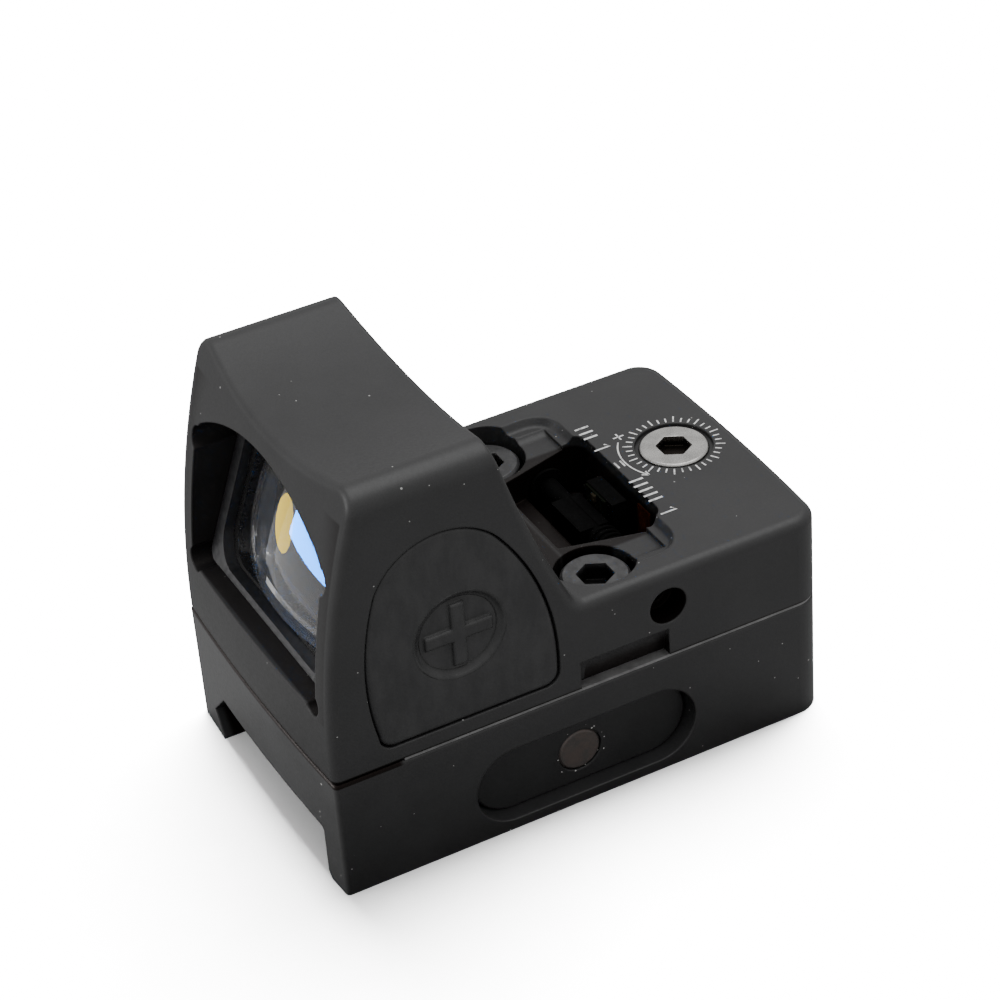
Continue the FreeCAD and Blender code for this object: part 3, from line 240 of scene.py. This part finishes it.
def anodised(name, tone, rough, hollow_shade=None, crumbs=False):
    """Matt black anodised aluminium: bead-blast grain, faint blotches, soft bright edges (part wear, part
    painted highlight), dust.

    The hollow argument gives the mask of painted shade in its hollows; crumbs puts swarf round the bolt's
    end."""
    g = Graph(name)
    normal, rim = g.soft_edge(0.22 * MM)
    fine = g.noise(0.00011, 2.0, 0.7)
    pits = g.noise(0.00030, 2.0, 0.5)
    cloud = g.noise(0.0065, 4.0, 0.6)
    dark, bright, wear_and_sheen = ((tone * c, tone * c, tone * c * 1.03) for c in (0.75, 1.3, 2.0))
    mottle = g.maths("ADD", g.maths("MULTIPLY", fine, 0.5), g.maths("MULTIPLY", cloud, 0.5))
    body = g.mix(g.spread(mottle, 0.30, 0.70), dark, bright)
    # Lighter edges: part wear, part painted highlight.
    body = g.mix(g.maths("MULTIPLY", rim, 0.45), body, wear_and_sheen)
    dust = g.maths("MAXIMUM", g.specks(0.0012, 0.30, 0.00006), g.specks(0.0020, 0.2, 0.00009))
    body = g.mix(g.maths("MULTIPLY", dust, 0.8), body, (0.42, 0.42, 0.41))
    if crumbs:
        reach = off_axis(g, BOLT)
        ring = g.maths("MULTIPLY", g.spread(reach, 1.94 * MM, 1.98 * MM),
                       g.spread(reach, 2.45 * MM, 2.38 * MM))
        swarf = g.maths("MULTIPLY", g.specks(0.00055, 0.55, 0.00008), ring)
        body = g.mix(swarf, body, (0.55, 0.55, 0.54))
    # Painted shade: near black in the hollows, with less specular tint there.
    if hollow_shade:
        inside = hollow_shade(g)
        body = g.mix(g.maths("MULTIPLY", inside, 0.93), body, (0.0014, 0.0005, 0.0004))
        g.set(Specular_Tint=g.mix(inside, (1.0, 1.0, 1.0), (0.25, 0.20, 0.185)))
    g.set(Base_Color=body)
    patches = g.maths("ADD", g.maths("MULTIPLY", pits, 0.4), g.maths("MULTIPLY", cloud, 0.6))
    g.set(Roughness=g.spread(patches, 0.25, 0.75, rough - 0.05, rough + 0.06))
    g.set(Specular_IOR_Level=0.5)
    height = g.maths("ADD", g.maths("MULTIPLY", fine, 0.6), g.maths("MULTIPLY", pits, 0.4))
    g.set(Normal=g.bump(height, 0.0000045, normal))
    return g.material


def rubber(name):
    """Moulded black rubber: satin skin with fine mottling and a few handling marks."""
    g = Graph(name)
    normal, rim = g.soft_edge(0.34 * MM)
    skin = g.noise(0.00035, 3.0, 0.6)
    smear = g.noise(0.0028, 5.0, 0.65, g.stretched((1.0, 1.6, 0.7)))
    body = g.mix(g.spread(smear, 0.3, 0.7), (0.0152, 0.0152, 0.01596), (0.02565, 0.02565, 0.02622))
    # Lighter edges: part wear, part painted highlight.
    body = g.mix(g.maths("MULTIPLY", rim, 0.2), body, (0.0342, 0.0342, 0.0342))
    dust = g.specks(0.0029, 0.07, 0.00006)
    g.set(Base_Color=g.mix(g.maths("MULTIPLY", dust, 0.7), body, (0.35, 0.35, 0.34)))
    g.set(Roughness=g.spread(smear, 0.25, 0.75, 0.49, 0.35))
    g.set(Normal=g.bump(g.maths("ADD", g.maths("MULTIPLY", skin, 0.5), smear), 0.000012, normal))
    return g.material


def black_steel(name, tone=(0.036, 0.036, 0.037), rough=0.36, rust=0.0, socket_top=None):
    """Black oxide steel, with faint turning lines, edges lighter by part wear and part painted highlight
    and, on an end that has seen wear, a brown cast.
    """
    g = Graph(name)
    normal, rim = g.soft_edge(0.00010)
    fine = g.noise(0.00016, 3.0, 0.6)
    patch = g.noise(0.0011, 4.0, 0.6)
    body = g.mix(g.spread(patch, 0.35, 0.65), tuple(0.8 * c for c in tone), tuple(1.25 * c for c in tone))
    if rust:
        body = g.mix(g.maths("MULTIPLY", g.spread(patch, 0.38, 0.60), rust), body, (0.075, 0.040, 0.028))
    # Lighter edges: part wear, part painted highlight.
    body = g.mix(g.maths("MULTIPLY", rim, 0.5), body, (0.12, 0.12, 0.12))
    # Painted shade: the socket goes near black below socket_top.
    if socket_top:
        depth = g.add("ShaderNodeSeparateXYZ", Vector=g.place).outputs[2]
        body = g.mix(g.spread(depth, socket_top, socket_top - 0.6 * MM), body, (0.006, 0.006, 0.006))
    g.set(Base_Color=body, Metallic=0.55)
    g.set(Roughness=g.spread(fine, 0.3, 0.7, rough - 0.06, rough + 0.08))
    g.set(Normal=g.bump(fine, 0.000004, normal))
    return g.material


def turned_steel(name, centre, axis, socket_top):
    """Bare steel turned about an axis: fine rings, edges lighter by part wear and part painted highlight,
    and a socket made dark as painted shade.
    """
    g = Graph(name)
    normal, rim = g.soft_edge(0.00010)
    keep = tuple(0.0 if i == axis else 1.0 for i in range(3))
    offset = g.vector("MULTIPLY", g.vector("SUBTRACT", g.place, tuple(centre)), keep)
    radius = g.vector("LENGTH", offset)
    wobble = g.maths("ADD", radius, g.maths("MULTIPLY", g.noise(0.0016, 3.0), 0.00006))
    rings = g.maths("SINE", g.maths("MULTIPLY", wobble, 2 * math.pi / 0.00011))
    fine = g.noise(0.00012, 2.0, 0.6)
    stain = g.noise(0.0013, 4.0, 0.6)
    body = g.mix(g.spread(stain, 0.3, 0.7), (0.448, 0.44, 0.424), (0.6048, 0.594, 0.5724))
    # Lighter edges: part wear, part painted highlight.
    body = g.mix(g.maths("MULTIPLY", rim, 0.5), body, (0.78, 0.77, 0.75))
    # Painted shade: near black in the socket, below socket_top.
    depth = g.add("ShaderNodeSeparateXYZ", Vector=g.place).outputs[2]
    body = g.mix(g.spread(depth, socket_top, socket_top - 0.6 * MM), body, (0.030, 0.025, 0.021))
    g.set(Base_Color=body, Metallic=1.0)
    g.set(Roughness=g.spread(g.maths("ADD", g.maths("MULTIPLY", rings, 0.2), fine), 0.2, 0.8, 0.22, 0.37))
    height = g.maths("ADD", g.maths("MULTIPLY", rings, 0.5), g.maths("MULTIPLY", fine, 0.6))
    g.set(Normal=g.bump(height, 0.0000022, normal))
    return g.material


def plain_metal(name, tone, rough):
    """Sheet, wire or machined metal with fine lines and clouding."""
    g = Graph(name)
    lines = g.noise(0.0002, 3.0, 0.6, g.stretched((1.0, 0.12, 1.0)))
    cloud = g.noise(0.0022, 4.0, 0.6)
    g.set(Base_Color=g.mix(g.spread(cloud, 0.3, 0.7), tuple(0.82 * c for c in tone), tone), Metallic=1.0)
    g.set(Roughness=g.spread(lines, 0.3, 0.7, rough - 0.06, rough + 0.08))
    g.set(Normal=g.bump(lines, 0.000003))
    return g.material


def moulded(name, tone, rough, depth=0.000006, size=0.00025, second=None):
    """Plastic, film, laminate or painted surface with fine texture and slight colour drift."""
    g = Graph(name)
    fine = g.noise(size, 3.0, 0.6)
    cloud = g.noise(0.0018, 4.0, 0.6)
    other = second or tuple(0.75 * c for c in tone)
    g.set(Base_Color=g.mix(g.spread(cloud, 0.35, 0.65), tone, other))
    g.set(Roughness=g.spread(fine, 0.3, 0.7, rough - 0.05, rough + 0.08))
    g.set(Normal=g.bump(fine, depth))
    return g.material


def near_black_shade(name, tone=(0.0014, 0.0014, 0.0014), steel_before=None):
    """Near black and throwing back little light, as painted shade on parts inside the housing and its
    emitter well; on a screw, bare steel where x is below steel_before.
    """
    g = Graph(name)
    fine = g.noise(0.0002, 3.0, 0.6)
    cloud = g.noise(0.0012, 4.0, 0.6)
    body = g.mix(g.spread(cloud, 0.35, 0.65), tone, tuple(1.8 * c for c in tone))
    g.set(Roughness=g.spread(fine, 0.3, 0.7, 0.62, 0.75))
    if steel_before is not None:
        x = g.add("ShaderNodeSeparateXYZ", Vector=g.place).outputs[0]
        steel = g.spread(x, steel_before + 0.1 * MM, steel_before)
        bare = g.mix(g.spread(cloud, 0.3, 0.7), (0.44, 0.43, 0.42), (0.58, 0.57, 0.55))
        body = g.mix(steel, body, bare)
        g.set(Metallic=steel, Roughness=g.maths("ADD", g.spread(fine, 0.3, 0.7, 0.26, 0.34),
                                                g.maths("MULTIPLY", g.maths("SUBTRACT", 1.0, steel), 0.4)))
    g.set(Base_Color=body, Specular_IOR_Level=0.03)
    g.set(Normal=g.bump(fine, 0.000002))
    return g.material


def plate_edge():
    """The plate between housing and base: its cut edge is bare at the sides and rear, and near black in
    front as painted shade.
    """
    g = Graph("plate_metal")
    lines = g.noise(0.00025, 3.0, 0.6, g.stretched((1.0, 0.15, 1.0)))
    along = g.add("ShaderNodeSeparateXYZ", Vector=g.place).outputs[1]
    bare = g.mix(g.spread(g.noise(0.002, 4.0), 0.35, 0.65), (0.17, 0.17, 0.17), (0.25, 0.25, 0.25))
    side = g.spread(along, PLATE_DARK_BEFORE - 0.5 * MM, PLATE_DARK_BEFORE)
    g.set(Base_Color=g.mix(side, (0.004, 0.004, 0.004), bare), Metallic=0.6)
    g.set(Roughness=g.spread(lines, 0.3, 0.7, 0.34, 0.46))
    g.set(Normal=g.bump(lines, 0.000003))
    return g.material


def coated_glass(name):
    """The lens: slightly veiled glass with a little dust and smear."""
    g = Graph(name)
    smear = g.noise(0.0021, 5.0, 0.65, g.stretched((0.5, 1.6, 1.2)))
    dust = g.specks(0.0016, 0.12, 0.00003)
    g.set(Base_Color=g.mix(g.maths("MULTIPLY", dust, 0.8), (0.93, 0.92, 0.90), (0.5, 0.5, 0.48)))
    g.set(Transmission_Weight=0.97, IOR=1.56)
    g.set(Roughness=g.spread(smear, 0.45, 0.75, 0.0, 0.03))
    return g.material


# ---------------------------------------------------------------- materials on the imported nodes

def dress_nodes():
    """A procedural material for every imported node."""
    bare = plain_metal("bare_metal", (0.55, 0.54, 0.52), 0.28)
    spring = plain_metal("spring_metal", (0.50, 0.50, 0.48), 0.22)
    seal = moulded("seal_rubber", (0.010, 0.010, 0.010), 0.38)
    laminate = moulded("board_laminate", (0.012, 0.07, 0.03), 0.35, second=(0.02, 0.10, 0.045))
    film = moulded("amber_film", (0.16, 0.035, 0.006), 0.30, second=(0.09, 0.016, 0.004))
    oxide = black_steel("oxide_steel")
    inner_shade = near_black_shade("inner_painted_shade")
    looks = {
        "mount_base": anodised("anodised_base", 0.0165, 0.44, hollow_shade=base_hollow_shade),
        "housing": anodised("anodised_housing", 0.017, 0.47, hollow_shade=housing_hollow_shade),
        "clamp_jaw": anodised("anodised_jaw", 0.013, 0.45, crumbs=True),
        "lens_retainer": moulded("retainer_paint", (0.008, 0.008, 0.009), 0.34, 0.000001, 0.0004),
        "lens_bond": moulded("bond_adhesive", (0.008, 0.008, 0.008), 0.26, 0.000004, 0.0009),
        "lens": coated_glass("coated_glass"),
        "cross_bolt": black_steel("worn_bolt", (0.120, 0.108, 0.102), 0.45, 0.35),
        "mount_screws": black_steel("screw_steel", (0.066, 0.066, 0.067), socket_top=SCREW_TOP),
        "sealing_plate": plate_edge(),
        "locating_dowels": bare,
        "plus_button": rubber("pad_rubber"),
        "plus_button_cover": rubber("cover_rubber"),
        "minus_button": rubber("minus_pad_rubber"),
        "minus_button_cover": rubber("minus_cover_rubber"),
        "elevation_screw": turned_steel("elevation_steel", DIAL, 2, DECK_TOP - 0.05 * MM),
        # The parts inside the housing and its emitter well take near black painted shade.
        "windage_screw": near_black_shade("windage_screw_steel", steel_before=-11.0 * MM),
        "elevation_o_ring": seal, "windage_o_ring": seal, "battery_gasket": seal, "cavity_gasket": seal,
        "elevation_click_washer": spring, "windage_click_washer": spring, "windage_spring": inner_shade,
        "elevation_spring": spring, "switch_domes": spring, "battery_spring_contact": spring,
        "battery_side_contact": spring,
        "elevation_retaining_ring": oxide, "windage_retaining_ring": inner_shade,
        "elevation_nut": inner_shade, "windage_slider": inner_shade, "emitter_carriage": inner_shade,
        "emitter_board": near_black_shade("emitter_laminate", (0.0022, 0.0030, 0.0016)),
        "circuit_board": laminate, "switch_boards": laminate,
        "emitter_led": near_black_shade("diode_resin", (0.012, 0.010, 0.006)),
        "emitter_flex": near_black_shade("emitter_film", (0.020, 0.0042, 0.0008)), "switch_leads": film,
        "board_chip": moulded("chip_body", (0.012, 0.012, 0.013), 0.4),
        "board_parts": moulded("chip_ceramic", (0.36, 0.28, 0.20), 0.4),
        "battery": plain_metal("cell_metal", (0.66, 0.66, 0.65), 0.20),
        "battery_leads": moulded("wire_cover", (0.30, 0.03, 0.02), 0.4),
    }
    for name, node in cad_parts.items():
        for slot in node.material_slots:
            slot.material = looks[name]


# ---------------------------------------------------------------- white marks on the deck

def strip(verts, faces, points, width):
    """A thin raised line through points (x, y in mm), width wide, added to verts and faces."""
    start = len(verts)
    for index, (x, y) in enumerate(points):
        before = points[max(index - 1, 0)]
        after = points[min(index + 1, len(points) - 1)]
        dx, dy = after[0] - before[0], after[1] - before[1]
        size = math.hypot(dx, dy)
        nx, ny = -dy / size * width / 2, dx / size * width / 2
        for side in (1, -1):
            for z in (0.0, MARK_HEIGHT):
                verts.append(((x + side * nx) * MM, (y + side * ny) * MM, DECK_TOP + (z + 0.002) * MM))
    for index in range(len(points) - 1):
        a = start + 4 * index
        b = a + 4
        faces += [(a + 1, a + 3, b + 3, b + 1), (a, b, b + 2, a + 2),
                  (a, a + 1, b + 1, b), (a + 2, b + 2, b + 3, a + 3)]
    end = start + 4 * (len(points) - 1)
    faces += [(start, start + 2, start + 3, start + 1), (end, end + 1, end + 3, end + 2)]


def around(radius, degrees):
    """A point on a circle about the dial, in millimetres."""
    angle = math.radians(degrees)
    return DIAL.x / MM + radius * math.cos(angle), DIAL.y / MM + radius * math.sin(angle)


def dial_marks():
    """Ticks round the dial, the arc arrow and the row of generic setting marks, as white paint."""
    verts, faces = [], []
    for count in range(36):
        degrees = 10.0 * count
        outer = 4.32 if count % 3 == 0 else 4.08
        strip(verts, faces, [around(3.52, degrees), around(outer, degrees)], 0.13)
    arc = [around(4.72, degrees) for degrees in range(232, 306, 4)]
    strip(verts, faces, arc, 0.13)
    for back_radius in (4.42, 5.02):
        strip(verts, faces, [around(4.72, 304), around(back_radius, 297)], 0.13)
    plus_x, plus_y = around(4.9, 222)
    strip(verts, faces, [(plus_x - 0.5, plus_y), (plus_x + 0.5, plus_y)], 0.14)
    strip(verts, faces, [(plus_x, plus_y - 0.5), (plus_x, plus_y + 0.5)], 0.14)
    low, high = 11.45, 12.95
    for x in (7.0, -3.9):
        strip(verts, faces, [(x, low), (x, high), (x - 0.45, high - 0.35)], 0.17)
    for x in (4.9, 4.1, 3.3, 2.5, 1.7, -5.9, -6.7, -7.5):
        strip(verts, faces, [(x, low + 0.1), (x, high - 0.1)], 0.22)
    for y in (11.95, 12.5):
        strip(verts, faces, [(-1.5, y), (-0.6, y)], 0.15)
    mesh = bpy.data.meshes.new("dial_marks")
    mesh.from_pydata(verts, [], faces)
    mesh.update()
    marks = bpy.data.objects.new("dial_marks", mesh)
    bpy.context.scene.collection.objects.link(marks)
    g = Graph("mark_paint")
    wear = g.noise(0.00035, 4.0, 0.6)
    g.set(Base_Color=g.mix(g.spread(wear, 0.30, 0.55), (0.30, 0.30, 0.30), (0.80, 0.80, 0.79)))
    g.set(Roughness=g.spread(wear, 0.3, 0.7, 0.55, 0.45))
    mesh.materials.append(g.material)
    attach(marks, "sight")
    return marks


# ---------------------------------------------------------------- rubber between pad and cover

def button_membrane(name, side):
    """The thin curved web of rubber that joins a pad to the cover round it."""
    cover_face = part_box("plus_button_cover")[1][0]
    outer, inner, thickness = 4.10, 3.30, 0.07  # millimetres
    steps, turns = 12, 128
    rows = []
    for step in range(steps + 1):
        share = step / steps
        radius = (outer + (inner - outer) * share) * MM
        rows.append((radius, cover_face - (cover_face - PAD_FACE) * share * share * (3 - 2 * share)))
    rows += [(radius, height - thickness * MM) for radius, height in reversed(rows)]
    verts, faces = [], []
    for turn in range(turns):
        angle = 2 * math.pi * turn / turns
        for radius, height in rows:
            verts.append((side * height, PAD.y + radius * math.cos(angle),
                          PAD.z + radius * math.sin(angle)))
    count = len(rows)
    for turn in range(turns):
        first, second = turn * count, (turn + 1) % turns * count
        for row in range(count):
            following = (row + 1) % count
            face = (first + row, first + following, second + following, second + row)
            faces.append(face if side > 0 else face[::-1])
    mesh = bpy.data.meshes.new(name)
    mesh.from_pydata(verts, [], faces)
    mesh.polygons.foreach_set("use_smooth", [True] * len(faces))
    mesh.update()
    piece = bpy.data.objects.new(name, mesh)
    bpy.context.scene.collection.objects.link(piece)
    mesh.materials.append(rubber(name + "_rubber"))
    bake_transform(piece)
    return piece


# ---------------------------------------------------------------- spring under the elevation block

def elevation_coil():
    """The coil spring, which stands on the housing, as a copy in place of the imported one."""
    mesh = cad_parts["elevation_spring"].data.copy()
    mesh.materials.clear()
    mesh.materials.append(plain_metal("coil_metal", (0.50, 0.50, 0.48), 0.22))
    piece = bpy.data.objects.new("elevation_coil", mesh)
    bpy.context.scene.collection.objects.link(piece)
    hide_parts("elevation_spring")
    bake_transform(piece)
    return piece


# ---------------------------------------------------------------- studio

def add_light(name, place, target, size, power, colour=(1.0, 1.0, 1.0), shape="RECTANGLE"):
    """A soft light of that size that looks at target."""
    data = bpy.data.lights.new(name, "AREA")
    data.shape, data.size, data.size_y = shape, size[0], size[1]
    data.energy, data.color = power, colour
    light = bpy.data.objects.new(name, data)
    light.location = place
    light.rotation_mode = "QUATERNION"
    light.rotation_quaternion = (Vector(target) - Vector(place)).to_track_quat("-Z", "Y")
    bpy.context.scene.collection.objects.link(light)
    return light


def light_only(light, *receivers):
    """The light falls on these objects, and nothing else."""
    group = bpy.data.collections.new(light.name + "_receivers")
    for receiver in receivers:
        group.objects.link(receiver)
    light.light_linking.receiver_collection = group
    light.visible_camera = False


def add_floor_light(floor):
    """A broad light above and behind, for the floor: it leaves a soft shadow in front."""
    data = bpy.data.lights.new("floor_light", "SUN")
    data.energy, data.angle = 72.0, math.radians(44)
    light = bpy.data.objects.new("floor_light", data)
    light.rotation_mode = "QUATERNION"
    light.rotation_quaternion = Vector((0.40, -0.36, -1.0)).to_track_quat("-Z", "Y")
    bpy.context.scene.collection.objects.link(light)
    light_only(light, floor)


def add_lens_cards(lens):
    """Cards that the lens mirrors: a cool window, a warm lamp and the pale table in front."""
    cool = add_light("cool_card", Vector((-42.0, -75.0, 22.0)) * MM, LENS, (0.040, 0.024), 0.22,
                     (0.0, 0.25, 1.0))
    warm = add_light("warm_card", Vector((-50.6, -50.1, 12.0)) * MM, LENS, (0.0155, 0.0155), 0.0045,
                     (1.0, 0.68, 0.0), "DISK")
    table_place = Vector((-150.0, -200.0, 1.0)) * MM
    table = add_light("table_card", table_place, table_place + Vector((0, 0, 0.1)), (0.5, 0.5), 0.25,
                      (1.0, 0.98, 0.94))
    for card in (cool, warm, table):
        light_only(card, lens)
        card.visible_diffuse = card.visible_transmission = False


def add_studio():
    """A pale floor, an even pale surround and soft lights above and in front.

    To the camera the floor and surround are white; as light on the object they are dimmer."""
    mesh = bpy.data.meshes.new("floor")
    reach = 3.0
    mesh.from_pydata([(-reach, -reach, 0), (reach, -reach, 0), (reach, reach, 0), (-reach, reach, 0)], [],
                     [(0, 1, 2, 3)])
    floor = bpy.data.objects.new("floor", mesh)
    floor.location.z = -0.00002
    bpy.context.scene.collection.objects.link(floor)
    g = Graph("floor_paper")
    paper = g.spread(g.noise(0.004, 3.0), 0.3, 0.7)
    seen = g.add("ShaderNodeLightPath").outputs["Is Camera Ray"]
    g.set(Base_Color=g.mix(seen, g.mix(paper, (0.022, 0.022, 0.022), (0.024, 0.024, 0.024)),
                           g.mix(paper, (0.84, 0.84, 0.84), (0.86, 0.86, 0.86))), Roughness=0.9)
    g.set(Specular_IOR_Level=0.0)
    mesh.materials.append(g.material)

    world = bpy.data.worlds.new("studio")
    bpy.context.scene.world = world
    world.use_nodes = True
    tree = world.node_tree
    path = tree.nodes.new("ShaderNodeLightPath")
    strength = tree.nodes.new("ShaderNodeMapRange")
    tree.links.new(path.outputs["Is Camera Ray"], strength.inputs[0])
    strength.inputs[3].default_value, strength.inputs[4].default_value = 0.72, 20.0
    tree.links.new(strength.outputs[0], tree.nodes["Background"].inputs["Strength"])
    tree.nodes["Background"].inputs["Color"].default_value = (1.0, 1.0, 1.0, 1.0)

    add_light("top_light", (0.0, 0.15, 0.9), (0, 0, 0), (0.9, 0.9), 6.0)
    add_light("front_light", (-0.15, -0.8, 0.35), (0, 0, 0.02), (0.5, 0.5), 3.6)
    add_floor_light(floor)
    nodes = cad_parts
    add_lens_cards(nodes["lens"])
    left = add_light("left_card", (-0.05, -0.14, 0.02), (-0.006, -0.023, 0.014), (0.08, 0.08), 0.27)
    light_only(left, nodes["mount_base"], nodes["lens_retainer"])


add_camera()
dress_nodes()
dial_marks()
button_membrane("plus_button_membrane", 1)
button_membrane("minus_button_membrane", -1)
elevation_coil()
add_studio()
